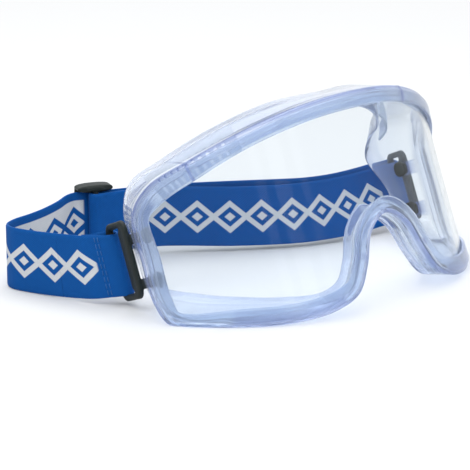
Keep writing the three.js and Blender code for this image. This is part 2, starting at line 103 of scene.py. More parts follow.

# Clips
RING_CORNER = 2.6
RING_MESH = 1.5  # longest step along the ring
HEAD_SHAPE = 1.7  # a head's width over its radius; it is two radii high
WALL_POINT = (77.3, 57.6)
WALL_ANGLE = math.atan2(19, -13.6)
RING_ANGLE = math.radians(87)
RING_LENGTH = 13.5
REST_SWING = math.radians(-20)
RING_Z = 40.6
RING_HEIGHT = 30.6
RING_BAR = 3.0
RING_RAIL = 2.6
FRONT_BAR_EXTRA = 3.6  # the front bar is a broad rounded plate towards the window
FRONT_BAR_FORWARD = 0.8
RING_THICK = 2.6
STEM_Z = 39.2
STEM_SPACING = 17.5
STEM_WIDTH = 2.4
STEM_HEIGHT = 4.0
HEAD_GAP = 1.9
HEAD_THICK = 1.8
HEAD_RADIUS = 3.2
HEAD_FORWARD = 0.7
BAR_GAP = 1.3
SLOT_WIDTH = 4.4
SLOT_HEIGHT = 5.0

# Strap and slider
STRAP_WIDTH = 25.0
STRAP_THICK = 1.2
STRAP_Z = 12.5
SLIDER_Z = 16.0
SLIDER_START = (-50, 137.5)
SLIDER_END = (-15, 121.9)
SLIDER_X = -42.3
SLIDER_LENGTH = 15.0
SLIDER_BAR = 2.6
SLIDER_HEIGHT = 31.6
SLIDER_GAP = 0.3
SLIDER_SIDE = 2.0
BAR_LOOP = 2.93  # webbing's middle from the middle of a clip's bar
ROW_STEP = 0.55  # webbing's rows of yarn
COLUMNS = 34
WEAVE_HEIGHT = 0.055
TONGUE = 0.15
TONGUE_SIZE = 0.985
# The webbing's middle line on the table, from the right clip round to the left one: x, y, z and how far it
# leans, from upright (0) to as far as the goggles do (1). The return layer runs back to the slider.
BAND_PATH = [
    (-75.3, 83, 15.2, 1), (-83.9, 89.7, 14.2, 0.9), (-88.2, 104.6, 12.8, 0.4),
    (-91.7, 117, STRAP_Z, 0.05), (-93, 125, STRAP_Z, 0), (-91, 130, STRAP_Z, 0),
    (-85, 132.9, 12.6, 0), (-76, 133.8, 12.9, 0), (-68, 134.2, 13.7, 0), (-60, 135.2, 14.9, 0),
    (-54.5, 136.8, 15.8, 0), (-50, 137.5, SLIDER_Z, 0), (-46, 135.72, SLIDER_Z, 0),
    (-32, 129.48, SLIDER_Z, 0), (-15, 121.9, SLIDER_Z, 0), (0, 112.4, SLIDER_Z, 0),
    (14, 102.8, 15.9, 0.05), (27, 95.2, 15.4, 0.2), (38, 90, 14.9, 0.5), (52, 86.8, 14.6, 0.85),
    (66, 85, 15, 1), (75.7, 83.95, 15.65, 1),
]
RETURN_PATH = [
    (75.7, 78.75, 15.65, 1), (69.2, 80, 14.9, 1), (53, 81.8, 14.2, 0.85), (30, 87.6, 14.2, 0.4),
    (6.4, 101, 14.8, 0.1), (-17, 119, 15.8, 0), (-30, 124.8, SLIDER_Z, 0),
]

# Where the drawing frame sits in the CAD frame: the goggles are even about x = 0, and the frame part's
# foremost point on the table is known.
FRAME_FRONT = 4.97
frame_low, frame_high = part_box("frame")
SHIFT = np.array([(frame_low.x + frame_high.x) / 2, frame_low.y - FRAME_FRONT * MM, 0.0])


def row(points):
    """Drawing frame on the table, mm, to the CAD frame in metres."""
    return np.asarray(points, float) * MM + SHIFT


def on_table(points):
    """Upright frame, mm, leaned back and lifted onto the table."""
    p = np.asarray(points, float)
    c, s = math.cos(LEAN), math.sin(LEAN)
    y = c * p[..., 1] + s * p[..., 2]
    z = -s * p[..., 1] + c * p[..., 2] + LIFT
    return np.stack([p[..., 0], y, np.maximum(z, 0.0)], -1)


# ---------------------------------------------------------------- curves
def catmull(points, t, closed):
    """Centripetal Catmull-Rom curve through the points at parameters t from 0 to 1."""
    p = np.asarray(points, float)
    n = len(p)
    x = np.asarray(t, float) * (n if closed else n - 1)
    if closed:
        i = np.floor(x).astype(int)
        w = x - i
        four = [p[(i + k) % n] for k in (-1, 0, 1, 2)]
    else:
        i = np.clip(np.floor(x).astype(int), 0, n - 2)
        w = x - i
        ext = np.vstack([2 * p[0] - p[1], p, 2 * p[-1] - p[-2]])
        four = [ext[i + k] for k in (0, 1, 2, 3)]
    chords = [np.linalg.norm(four[k + 1][:, :3] - four[k][:, :3], axis=1) for k in range(3)]
    d = [(np.maximum(chord, 1e-4) ** 0.5)[:, None] for chord in chords]
    p0, p1, p2, p3 = four
    m1 = ((p1 - p0) / d[0] - (p2 - p0) / (d[0] + d[1]) + (p2 - p1) / d[1]) * d[1]
    m2 = ((p2 - p1) / d[1] - (p3 - p1) / (d[1] + d[2]) + (p3 - p2) / d[2]) * d[1]
    w = w[:, None]
    leaving = (2 * w**3 - 3 * w**2 + 1) * p1 + (w**3 - 2 * w**2 + w) * m1
    return leaving + (3 * w**2 - 2 * w**3) * p2 + (w**3 - w**2) * m2


def full_outline(pick):
    """The closed outline of what is picked from each station, with the other half mirrored."""
    half = [pick(s) for s in STATIONS]
    return half + [(-q[0], *q[1:]) for q in half[-2:0:-1]]


RIDGE = full_outline(lambda s: (LENS_RADIUS * math.asin(s[0][0] / LENS_RADIUS), s[0][1], s[1]))
CORNER = full_outline(lambda s: s[2])
EDGE = full_outline(lambda s: s[3])


def ridge_at(t):
    """Unrolled ridge s and z, rim width, and the outward direction."""
    p = catmull(RIDGE, t % 1, True)
    along = catmull(RIDGE, (t + 0.001) % 1, True) - catmull(RIDGE, (t - 0.001) % 1, True)
    length = np.hypot(along[:, 0], along[:, 1])
    return p[:, 0], p[:, 1], p[:, 2], -along[:, 1] / length, along[:, 0] / length


def on_cylinder(s, z, depth):
    """Unrolled s and z, a depth behind the lens's outermost cylinder, in the upright frame."""
    angle = s / LENS_RADIUS
    r = LENS_RADIUS - depth
    return np.stack([r * np.sin(angle), LENS_RADIUS - r * np.cos(angle), z + 0 * s], -1)


def unit(v):
    return v / np.linalg.norm(v, axis=-1, keepdims=True)


def rounded(corners, radii, steps):
    """A closed section, each corner turned into a short arc. A corner is an array, one point a section."""
    out = []
    n = len(corners)
    for j in range(n):
        p, a, b = corners[j], corners[j - 1], corners[(j + 1) % n]
        la = np.linalg.norm(a - p, axis=1, keepdims=True)
        lb = np.linalg.norm(b - p, axis=1, keepdims=True)
        cut = np.minimum(radii[j], 0.45 * np.minimum(la, lb))
        start, end = p + (a - p) / la * cut, p + (b - p) / lb * cut
        for k in range(steps + 1):
            w = k / steps
            out.append((1 - w) ** 2 * start + 2 * w * (1 - w) * p + w * w * end)
    return out


# ---------------------------------------------------------------- meshes
def mesh_object(name, verts, faces, material, sharp=None):
    mesh = bpy.data.meshes.new(name)
    mesh.from_pydata([tuple(v) for v in verts], [], faces)
    mesh.validate()
    mesh.polygons.foreach_set("use_smooth", [True] * len(mesh.polygons))
    if sharp:
        mesh.set_sharp_from_angle(angle=math.radians(sharp))
    obj = bpy.data.objects.new(name, mesh)
    bpy.context.scene.collection.objects.link(obj)
    if material:
        mesh.materials.append(material)
    return obj


def ring_faces(rings, count, closed, caps=False, base=0):
    """Quads between rings of count points each, with their normals out of an anticlockwise ring."""
    faces = []
    for i in range(rings if closed else rings - 1):
        a, b = base + i * count, base + ((i + 1) % rings) * count
        for j in range(count):
            k = (j + 1) % count
            faces.append((a + j, a + k, b + k, b + j))
    if caps:
        faces.append(tuple(base + j for j in reversed(range(count))))
        last = base + (rings - 1) * count
        faces.append(tuple(last + j for j in range(count)))
    return faces


def shells_object(name, shells, material):
    """One mesh of closed shells: rings of points in the drawing frame, and whether they join in a loop."""
    verts, faces, base = [], [], 0
    for rings, closed in shells:
        n, count = rings.shape[:2]
        verts.append(row(rings.reshape(-1, 3)))
        faces += ring_faces(n, count, closed, not closed, base)
        base += n * count
    return outward(mesh_object(name, np.vstack(verts), faces, material))


def outward(obj):
    """Turns all faces of a closed mesh outwards."""
    bm = bmesh.new()
    bm.from_mesh(obj.data)
    bmesh.ops.recalc_face_normals(bm, faces=bm.faces)
    bm.to_mesh(obj.data)
    bm.free()
    return obj


def applied(obj):
    """Replaces the object's mesh by what its modifiers make of it."""
    graph = bpy.context.evaluated_depsgraph_get()
    mesh = bpy.data.meshes.new_from_object(obj.evaluated_get(graph))
    old = obj.data
    obj.modifiers.clear()
    obj.data = mesh
    mesh.name = obj.name
    bpy.data.meshes.remove(old)
    return obj


def cut(obj, cutters):
    """Takes the cutters away from the object, and then removes them."""
    for c in cutters:
        mod = obj.modifiers.new("cut", "BOOLEAN")
        mod.operation, mod.solver, mod.object = "DIFFERENCE", "EXACT", c
    applied(obj)
    for c in cutters:
        bpy.data.objects.remove(c)
    obj.data.polygons.foreach_set("use_smooth", [True] * len(obj.data.polygons))
    return obj


def moulded(obj, voxel, rounds):
    """Melts overlapping closed shells into one soft-edged moulding."""
    mod = obj.modifiers.new("melt", "REMESH")
    mod.mode, mod.voxel_size, mod.use_smooth_shade = "VOXEL", voxel * MM, True
    mod = obj.modifiers.new("soften", "SMOOTH")
    mod.factor, mod.iterations = 0.5, rounds
    return applied(obj)


def fitted(obj, body, node):
    """Fixes a finished piece to its body, in place of a CAD node."""
    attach(obj, body)
    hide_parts(node)
    return obj


# ---------------------------------------------------------------- materials
class Nodes:
    """The node tree of a material or world, with short ways to add what they are made of here."""

    def __init__(self, owner, output="OutputMaterial"):
        owner.use_nodes = True
        self.owner, self.tree = owner, owner.node_tree
        self.tree.nodes.clear()
        self.out = self.new(output)

    def new(self, kind):
        return self.tree.nodes.new("ShaderNode" + kind)

    def link(self, value, socket):
        self.tree.links.new(value, socket)

    def set(self, socket, value):
        if isinstance(value, bpy.types.NodeSocket):
            self.link(value, socket)
        else:
            socket.default_value = value

    def fill(self, node, **inputs):
        """Sets inputs by name, with _ for a space, and gives the first output."""
        for key, value in inputs.items():
            self.set(node.inputs[key.replace("_", " ")], value)
        return node.outputs[0]

    def surface(self, **inputs):
        return self.fill(self.new("BsdfPrincipled"), **inputs)

    def math(self, op, *values, clamp=False):
        n = self.new("Math")
        n.operation, n.use_clamp = op, clamp
        for socket, value in zip(n.inputs, values):
            self.set(socket, value)
        return n.outputs[0]

    def times(self, a, b, clamp=False):
        return self.math("MULTIPLY", a, b, clamp=clamp)

    def plus(self, a, b, clamp=False):
        return self.math("ADD", a, b, clamp=clamp)

    def mix(self, factor, a, b):
        """A colour between a and b."""
        n = self.new("Mix")
        n.data_type = "RGBA"
        for key, value in (("Factor", factor), ("A", a), ("B", b)):
            self.set(n.inputs[key], value)
        return n.outputs["Result"]

    def between(self, factor, first, second):
        """A shader between two others."""
        n = self.new("MixShader")
        for socket, value in zip(n.inputs, (factor, first, second)):
            self.link(value, socket)
        return n.outputs[0]

    def noise(self, scale, detail=3.0):
        n = self.new("TexNoise")
        self.fill(n, Vector=self.new("TexCoord").outputs["Object"], Scale=scale, Detail=detail)
        return n.outputs["Fac"]

    def span(self, value, low, high, to_low=0.0, to_high=1.0):
        """The value carried from one range to another, held at its ends."""
        n = self.new("MapRange")
        return self.fill(n, Value=value, From_Min=low, From_Max=high, To_Min=to_low, To_Max=to_high)

    def bump(self, height, strength, distance):
        return self.fill(self.new("Bump"), Strength=strength, Distance=distance, Height=height)

    def attribute(self, name):
        n = self.new("Attribute")
        n.attribute_name = name
        return n

    def lets_light_through(self, surface, tint):
        """Clear plastic casts a pale tinted shadow instead of a black one."""
        shadow = self.new("LightPath").outputs["Is Shadow Ray"]
        return self.between(shadow, surface, self.fill(self.new("BsdfTransparent"), Color=tint))

    def finish(self, surface, volume=None):
        self.link(surface, self.out.inputs["Surface"])
        if volume is not None:
            self.link(volume, self.out.inputs["Volume"])
        return self.owner


def shader(name):
    return Nodes(bpy.data.materials.new(name))


PVC_IOR = 1.30  # low, so that the many thin walls don't all turn into mirrors
PVC_DENSITY = 14.0
LENS_IOR = 1.22


def pvc_material():
    """Soft frosted vinyl: violet and milky in the thick rim, nearly clear in the walls, darker edge-on,
    with a painted dark violet shade along the ridge's fold and the edges, across the mould seams and over
    the lens lugs.
    """
    m = shader("soft_pvc")
    zone = m.new("SeparateColor")
    m.link(m.attribute("zone").outputs["Color"], zone.inputs[0])
    rim, fold = zone.outputs[0], zone.outputs[1]
    cloud = m.noise(32.0)
    relief = m.bump(m.noise(900.0, 2.0), 0.05, 0.00005)
    facing = m.new("LayerWeight")
    m.fill(facing, Blend=0.5)
    edge = m.math("POWER", facing.outputs["Facing"], 3.0)
    tint = m.mix(rim, (0.95, 0.97, 0.985, 1), (0.72, 0.79, 0.89, 1))
    # near-white patches from the cloud noise: a frosted tone that varies at random, and painted highlight
    # patches on the rim face
    tint = m.mix(m.span(cloud, 0.46, 0.66, 0.0, 0.6), tint, (0.96, 0.98, 1.0, 1))
    # painted shade: dark violet along the ridge's fold and the edges, across the mould seams and over the
    # lens lugs
    tint = m.mix(m.times(fold, 0.75), tint, (0.32, 0.39, 0.66, 1))
    milk = m.mix(rim, (0.78, 0.83, 0.88, 1), (0.46, 0.54, 0.68, 1))
    # the same painted shade, darker in the milky body
    milk = m.mix(fold, milk, (0.22, 0.28, 0.52, 1))
    milk = m.mix(m.times(edge, 0.7), milk, (0.24, 0.29, 0.45, 1))
    frost = m.plus(m.times(rim, 0.1), m.span(cloud, 0.3, 0.7, 0.02, 0.08))
    clear = m.surface(
        Base_Color=tint, Roughness=frost, IOR=PVC_IOR, Transmission_Weight=1.0, Normal=relief
    )
    body = m.surface(
        Base_Color=milk, Roughness=m.span(cloud, 0.3, 0.7, 0.14, 0.24), IOR=1.45, Normal=relief
    )
    share = m.plus(m.times(rim, 0.13), m.times(m.times(edge, edge), 0.5))
    # the painted shade lines are also milkier and less clear
    fold_shade_share = m.plus(m.times(fold, 0.3), 0.015)
    vinyl = m.between(m.plus(share, fold_shade_share, clamp=True), clear, body)
    volume = m.fill(m.new("VolumeAbsorption"), Color=(0.25, 0.40, 0.72, 1), Density=PVC_DENSITY)
    return m.finish(m.lets_light_through(vinyl, (0.90, 0.92, 0.96, 1)), volume)


def lens_material():
    """Thin clear sheet with a faint grey tint and very slight waves in its polish."""
    m = shader("clear_polycarbonate")
    wave = m.noise(14.0, 1.0)
    surface = m.surface(
        Base_Color=(0.82, 0.86, 0.89, 1), Roughness=m.span(wave, 0.3, 0.7, 0.0, 0.015), IOR=LENS_IOR,
        Transmission_Weight=1.0,
    )
    return m.finish(m.lets_light_through(surface, (0.95, 0.96, 0.975, 1)))


def vent_material():
    """Frosted grey plastic with a fine grain."""
    m = shader("frosted_vent_plastic")
    grain = m.noise(700.0, 3.0)
    colour = m.mix(m.noise(90.0), (0.50, 0.55, 0.64, 1), (0.62, 0.67, 0.75, 1))
    surface = m.surface(
        Base_Color=colour, Roughness=0.5, IOR=1.45, Transmission_Weight=0.25,
        Normal=m.bump(grain, 0.3, 0.0001),
    )
    return m.finish(m.lets_light_through(surface, (0.8, 0.82, 0.87, 1)))


def nylon_material():
    """Dark moulded nylon with a spark-eroded grain."""
    m = shader("dark_olive_nylon")
    grain = m.noise(1500.0, 4.0)
    colour = m.mix(m.noise(120.0), (0.011, 0.016, 0.016, 1), (0.018, 0.024, 0.022, 1))
    return m.finish(
        m.surface(
            Base_Color=colour, Roughness=m.span(grain, 0.3, 0.7, 0.42, 0.56), Specular_IOR_Level=0.22,
            Normal=m.bump(grain, 0.2, 0.00006),
        )
    )


# The second colour of each pair is the painted shade of the yarn in the weave's dips.
BLUE = (0.002, 0.088, 0.34, 1)
BLUE_SHADED = (0.001, 0.060, 0.25, 1)
WHITE = (0.62, 0.64, 0.66, 1)
WHITE_SHADED = (0.52, 0.54, 0.57, 1)
# Woven motif, mm: two crossed zigzags make a row of diamonds
MOTIF_RISE = 5.6
MOTIF_LENGTH = 27.0
MOTIF_STROKE = 2.1
MOTIF_GEM = 1.9
MOTIF_BLUR = 0.12
PANEL_HALF = 9.3
PANEL_BLUR = 0.15
CORD_STEP = 0.74  # webbing's cords across its width


def webbing_material(name, reverse):
    """Woven elastic: blue with white diamonds, or on the reverse a pale panel with the diamonds in blue."""
    m = shader(name)
    uv, split = m.new("UVMap"), m.new("SeparateXYZ")
    uv.uv_map = "yarn"
    m.link(uv.outputs[0], split.inputs[0])
    u, v = split.outputs[0], split.outputs[1]  # mm along and across
    half = MOTIF_LENGTH / 2
    slope = MOTIF_RISE / (half / 2)
    steep = math.hypot(1, slope)
    fold = m.math("PINGPONG", u, half)
    crest = m.times(m.math("SUBTRACT", m.math("DIVIDE", fold, half / 2), 1.0), MOTIF_RISE)
    gaps = [m.math("ABSOLUTE", m.math(op, v, crest)) for op in ("SUBTRACT", "ADD")]
    lines = [m.math("DIVIDE", gap, steep) for gap in gaps]
    zigzag = m.math("SUBTRACT", m.math("MINIMUM", *lines), MOTIF_STROKE / 2)
    # a small diamond inside each large one
    cell = m.math("MINIMUM", fold, m.math("SUBTRACT", half, fold))
    size = m.plus(m.math("ABSOLUTE", v), m.times(cell, slope))
    gem = m.math("DIVIDE", m.math("SUBTRACT", size, MOTIF_GEM), steep)
    shape = m.math("MINIMUM", zigzag, gem)
    motif = m.span(shape, -MOTIF_BLUR, MOTIF_BLUR, 1.0, 0.0)
    # the motif runs in lengths with plain webbing between them
    inside = m.attribute("printed").outputs["Fac"]
    motif = m.times(motif, inside, clamp=True)
    beyond = m.math("SUBTRACT", m.math("ABSOLUTE", v), PANEL_HALF)
    panel = m.span(beyond, -PANEL_BLUR, PANEL_BLUR, 1.0, 0.0)
    panel = m.times(panel, inside, clamp=True)
    pale = m.math("SUBTRACT", panel, motif, clamp=True) if reverse else motif
    ribs = m.math("SINE", m.times(u, 2 * math.pi / ROW_STEP / 2))
    cords = m.math("SINE", m.times(v, 2 * math.pi / CORD_STEP))
    yarn = m.times(ribs, cords)
    # painted shade: the yarn darker where the weave's ribs and cords dip, with a random tone from the noise
    shade = m.span(m.plus(yarn, m.times(m.noise(500.0), 1.5)), -0.6, 2.0)
    blue = m.mix(shade, BLUE_SHADED, BLUE)
    white = m.mix(shade, WHITE_SHADED, WHITE)
    colour = m.mix(pale, blue, white)
    return m.finish(
        m.surface(
            Base_Color=colour, Roughness=0.7, Sheen_Weight=0.02, Sheen_Roughness=0.5,
            Normal=m.bump(yarn, 0.35, 0.00008), Specular_IOR_Level=0.12,
        )
    )


def thread_material():
    """Twisted blue sewing thread, a little lighter than the webbing."""
    m = shader("sewing_thread")
    twist = m.noise(2500.0, 2.0)
    colour = m.mix(twist, (0.004, 0.07, 0.27, 1), (0.010, 0.12, 0.38, 1))
    return m.finish(m.surface(Base_Color=colour, Roughness=0.55, Normal=m.bump(twist, 0.3, 0.0001)))


FLOOR_FADE = (0.3, 1.2)  # m


def floor_material():
    """Pale matt paper that fades into plain white away from the goggles."""
    m = shader("studio_floor")
    colour = m.mix(m.noise(3.0), (0.655, 0.66, 0.665, 1), (0.675, 0.68, 0.685, 1))
    paper = m.surface(Base_Color=colour, Roughness=0.9, Specular_IOR_Level=0.1)
    white = m.fill(m.new("Emission"), Strength=1.0)
    far = m.new("VectorMath")
    far.operation = "LENGTH"
    m.link(m.new("NewGeometry").outputs["Position"], far.inputs[0])
    return m.finish(m.between(m.span(far.outputs["Value"], *FLOOR_FADE), paper, white))


PVC = pvc_material()
LENS = lens_material()
VENT = vent_material()
NYLON = nylon_material()
FACE = webbing_material("webbing_face", False)
REVERSE = webbing_material("webbing_reverse", True)
THREAD = thread_material()


# ---------------------------------------------------------------- frame
def frame_section(t):
    """Corner points of the frame's sections at the parameters t, and the radii that round them."""
    s, z, rim, out_x, out_z = ridge_at(t)

    def rim_point(out, depth):
        return on_cylinder(s + out_x * out, z + out_z * out, depth)

    corner, edge = catmull(CORNER, t % 1, True), catmull(EDGE, t % 1, True)
    ridge = rim_point(0, 1)
    back, inward = unit(corner - ridge), unit(edge - corner)
    across = unit(inward - back * np.sum(inward * back, 1, keepdims=True))
    wall_front = ridge + back * (RIM_DEPTH - 0.5) + across * WALL
    thick = np.minimum(WALL, 0.5 * np.linalg.norm(edge - corner, axis=1, keepdims=True))
    bend = corner + inward * thick - back * FLANGE_THICK
    rear_lip = -rim + REAR_LIP_BACK
    station = t * STATION_COUNT
    seam = sum(np.exp(-(((station - k) / SEAM_WIDTH) ** 2)) for k in SEAMS) * SEAM_HEIGHT
    points = [
        (rim_point(-rim, 0.35), 0.5),
        (rim_point(-1.9, 0 - seam), 0.35),
        (rim_point(-1.55, 0.42 - seam), 0.3),
        (rim_point(0 + seam, 1), 0.9),
        (ridge + back * 2.4, 0.4),
        (corner - back * 3.4, 0.4),
        (corner, 2.4),
        (edge, 0.7),
        (edge - back * FLANGE_THICK, 0.7),
        (bend, 1.6),
        (wall_front, 0.8),
        (rim_point(rear_lip, RIM_DEPTH), 0.6),
        (rim_point(rear_lip, GROOVE_BACK), 0.3),
        (rim_point(-GROOVE_INSET, GROOVE_BACK), 0.3),
        (rim_point(-GROOVE_INSET, GROOVE_FRONT), 0.3),
        (rim_point(-rim, GROOVE_FRONT), 0.3),
    ]
    return [p[0] for p in points], [p[1] for p in points]


def paint_zones(obj, stations):
    """How much each point belongs to the thick rim, and how much painted shade it takes near the fold along
    the ridge, along the edges, over the lens lugs and across the mould seams.
    """
    rim = np.array([1, 1, 1, 0.75, 0.1, 0, 0.1, 0.4, 0.3, 0.1, 0.1, 0.8, 1, 1, 1, 1])
    # fold: painted shade as dark lines at the ridge, its step, the corner, the flange's edge, the bend and
    # the rear lip
    fold = np.array([0, 0, 0.4, 1, 0, 0, 0.3, 0.6, 0.3, 0.25, 0, 0.2, 0, 0, 0, 0])
    station = np.minimum(stations, STATION_COUNT - stations)
    lower = np.clip((station - 6.5) / 2.5, 0, 1)[:, None]  # the walls take more of the rim's violet towards the bottom of the frame
    rim = np.maximum(rim[None], 0.5 * lower)
    fold = np.repeat(fold[None], len(station), 0)
    # painted shade on the rim where the lens lugs show through its edge
    for middle, half in SHADED_LUGS:
        fold[np.abs(station - middle) < half, 1:4] = 0.8
    # painted shade across the mould seams
    for middle in SEAMS:
        fold[np.abs(stations - middle) < 1.5 * SEAM_WIDTH, :5] = 1
    colours = np.stack([rim, fold, 0 * rim, 0 * rim + 1], -1)
    colours = np.repeat(colours, CORNER_STEPS + 1, axis=1)
    layer = obj.data.color_attributes.new("zone", "FLOAT_COLOR", "POINT")
    layer.data.foreach_set("color", np.array(colours, np.float32).ravel())


def frame_parameters():
    """Where the frame's sections stand: evenly, and closer together across the mould seams."""
    uniform = np.arange(STATION_COUNT * RING_STEPS) / RING_STEPS
    near = np.concatenate([k + np.linspace(-0.09, 0.09, 9) for k in SEAMS])
    keep = [u for u in uniform if np.min(np.abs(near - u)) > 0.03]
    return np.sort(np.concatenate([keep, near])) / STATION_COUNT


def wall_turn(side):
    """The side wall's heading in plan at the clip: the left wall's for side 1, the right's for -1."""
    return side * (WALL_ANGLE - math.pi)


def turned(points, angle):
    """Points turned about z."""
    p = np.asarray(points, float)
    c, s = math.cos(angle), math.sin(angle)
    return np.stack([c * p[..., 0] - s * p[..., 1], s * p[..., 0] + c * p[..., 1], p[..., 2]], -1)


def superellipse(count, a, b, power):
    angle = np.arange(count) * 2 * math.pi / count
    c, s = np.cos(angle), np.sin(angle)
    return np.sign(c) * np.abs(c) ** (2 / power) * a, np.sign(s) * np.abs(s) ** (2 / power) * b


def pad(size, power, count=28, edge=0.35):
    """A closed pill-edged block: superellipse in x and z, thin in y. Returns rings of points."""
    w, d, h = size
    small, turn = 1 - 2 * edge / min(w, h), 0.5 - edge / d
    rings = []
    for y, k in ((-0.5, small), (-turn, 1), (turn, 1), (0.5, small)):
        x, z = superellipse(count, w / 2 * k, h / 2 * k, power)
        rings.append(np.stack([x, np.full(count, y * d), z], -1))
    return rings


def build_frame():
    """The rim, wall and flange as one swept section, with the clips' four slots cut through the walls."""
    t = frame_parameters()
    corners, radii = frame_section(t)
    profile = rounded(corners, radii, CORNER_STEPS)
    count = len(profile)
    verts = on_table(np.stack(profile, 1)).reshape(-1, 3)
    obj = mesh_object("frame_shell", row(verts), ring_faces(len(t), count, True), PVC)
    outward(obj)
    paint_zones(obj, t * STATION_COUNT)
    cutters = []
    for side in (-1, 1):
        for dz in (-0.5, 0.5):
            rings = pad((SLOT_WIDTH, WALL * 4, SLOT_HEIGHT), 4)
            points = turned(np.array(rings), wall_turn(side))
            points = points + np.array([side * WALL_POINT[0], WALL_POINT[1], STEM_Z + dz * STEM_SPACING])
            cutters.append(shells_object("cutter", [(on_table(points), False)], None))
    cut(obj, cutters)
    obj.data.set_sharp_from_angle(angle=math.radians(60))
    return fitted(obj, "frame", "frame")


# ---------------------------------------------------------------- lens
LENS_POINTS = 720
LENS_BEVEL = 0.3
LENS_GRID = 2.6
LENS_MARGIN = 1.6  # grid points keep this far from the outline
LUG_RAMP = 0.12  # stations


def lens_outline(inset):
    """The lens's edge unrolled flat, inset from the ridge, with its lugs."""
    t = np.linspace(0, 1, LENS_POINTS, endpoint=False)
    s, z, _, out_x, out_z = ridge_at(t)
    station = np.minimum(t * STATION_COUNT, STATION_COUNT - t * STATION_COUNT)
    lug = np.zeros(len(t))
    for middle, half in LUGS:
        ramp = np.clip((half - np.abs(station - middle)) / LUG_RAMP + 0.5, 0, 1)
        lug = np.maximum(lug, ramp * ramp * (3 - 2 * ramp))
    reach = inset - lug * LUG_REACH
    return np.stack([s - out_x * reach, z - out_z * reach], -1)


def build_lens():
    """A flat sheet meshed evenly, bent round the cylinder, with its front and rear edges bevelled."""
    rim, core = lens_outline(LENS_INSET), lens_outline(LENS_INSET + LENS_BEVEL)
    n = len(core)
    columns, rows = (np.arange(core[:, k].min(), core[:, k].max(), LENS_GRID) for k in (0, 1))
    inner = lens_outline(LENS_INSET + LENS_BEVEL + LENS_MARGIN)
    grid = [Vector((x, z)) for x in columns for z in rows]
    grid = [p for p in grid if inside_polygon(p, inner)]
    points = [Vector(p) for p in core] + grid
    edges = [(i, (i + 1) % n) for i in range(n)]
    verts2, _, faces2, *_ = geometry.delaunay_2d_cdt(points, edges, [], 1, 1e-7)
    flat = np.array([(v.x, v.y) for v in verts2])
    m = len(flat)  # the outline's n points still come first
    front = on_cylinder(flat[:, 0], flat[:, 1], LENS_DEPTH)
    rear = on_cylinder(flat[:, 0], flat[:, 1], LENS_DEPTH + LENS_THICK)
    side_front = on_cylinder(rim[:, 0], rim[:, 1], LENS_DEPTH + LENS_BEVEL)
    side_rear = on_cylinder(rim[:, 0], rim[:, 1], LENS_DEPTH + LENS_THICK - LENS_BEVEL)
    verts = np.vstack([front, rear, side_front, side_rear])
    faces = [tuple(f) for f in faces2] + [tuple(m + i for i in reversed(f)) for f in faces2]
    for i in range(n):
        k = (i + 1) % n
        a, b = 2 * m + i, 2 * m + k
        faces += [(i, k, b, a), (a, b, b + n, a + n), (a + n, b + n, m + k, m + i)]
    obj = outward(mesh_object("lens_sheet", row(on_table(verts)), faces, LENS))
    obj.data.set_sharp_from_angle(angle=math.radians(35))
    return fitted(obj, "frame", "lens")


def inside_polygon(p, polygon):
    """Whether a ray from the point crosses the outline an odd number of times."""
    x, y = polygon[:, 0], polygon[:, 1]
    x2, y2 = np.roll(x, -1), np.roll(y, -1)
    crosses = ((y > p[1]) != (y2 > p[1])) & (p[0] < (x2 - x) * (p[1] - y) / (y2 - y + 1e-12) + x)
    return crosses.sum() % 2 == 1


# ---------------------------------------------------------------- vent covers
VENT_FROM = 1.8
VENT_TO = 3.7
VENT_GAP = 0.3
VENT_FORWARD = 2.4
VENT_DROP = 8.5
VENT_THICK = 1.2
VENT_COLUMNS = 61
VENT_ROWS = 13
VENT_BOW = 0.35
SLOT_ROWS = (7, 11)  # from, to
SLOT_EVERY = 5  # columns, of which two are open
SLOT_MARGIN = 4


def build_vent(side):
    """A frosted, slightly bowed baffle with a comb of slots along its lower edge."""
    t = np.linspace(VENT_FROM, VENT_TO, VENT_COLUMNS) / STATION_COUNT
    corners, _ = frame_section(t)
    corner, edge, bend, front = (corners[k] for k in (6, 7, 9, 10))
    inward, forward = unit(edge - corner), unit(front - bend)
    top = bend + inward * VENT_GAP + forward * (VENT_FORWARD + VENT_THICK / 2)
    verts = []
    for r in range(VENT_ROWS):
        w = r / (VENT_ROWS - 1)
        bow = VENT_BOW * math.sin(math.pi * w)
        verts.append(top + inward * (0.3 + (VENT_DROP - 0.6) * w) + forward * bow)
    verts = np.stack(verts, 1).reshape(-1, 3)
    verts[:, 0] *= side
    faces = []
    for c in range(VENT_COLUMNS - 1):
        slotted = c % SLOT_EVERY in (2, 3) and SLOT_MARGIN <= c < VENT_COLUMNS - 1 - SLOT_MARGIN
        for r in range(VENT_ROWS - 1):
            if not (slotted and SLOT_ROWS[0] <= r < SLOT_ROWS[1]):
                a = c * VENT_ROWS + r
                faces.append((a, a + 1, a + VENT_ROWS + 1, a + VENT_ROWS))
    which = "left" if side > 0 else "right"
    obj = mesh_object("vent_cover_" + which, row(on_table(verts)), faces, VENT)
    mod = obj.modifiers.new("thick", "SOLIDIFY")
    mod.thickness, mod.offset = (VENT_THICK - 0.1) * MM, 0
    mod = obj.modifiers.new("edges", "BEVEL")
    mod.width, mod.segments, mod.limit_method = 0.22 * MM, 2, "ANGLE"
    applied(obj)
    outward(obj)
    obj.data.polygons.foreach_set("use_smooth", [True] * len(obj.data.polygons))
    return fitted(obj, "frame", which + "_vent_cover")


# ---------------------------------------------------------------- clips
BAR_OUTWARD = WALL / 2 + BAR_GAP + RING_THICK / 2
WALL_NORMAL = np.array([math.cos(wall_turn(1) + math.pi / 2), math.sin(wall_turn(1) + math.pi / 2)])
RING_FRONT = np.array(WALL_POINT) + WALL_NORMAL * BAR_OUTWARD
HINGE = np.array([WALL_POINT[0], WALL_POINT[1], 0.0])


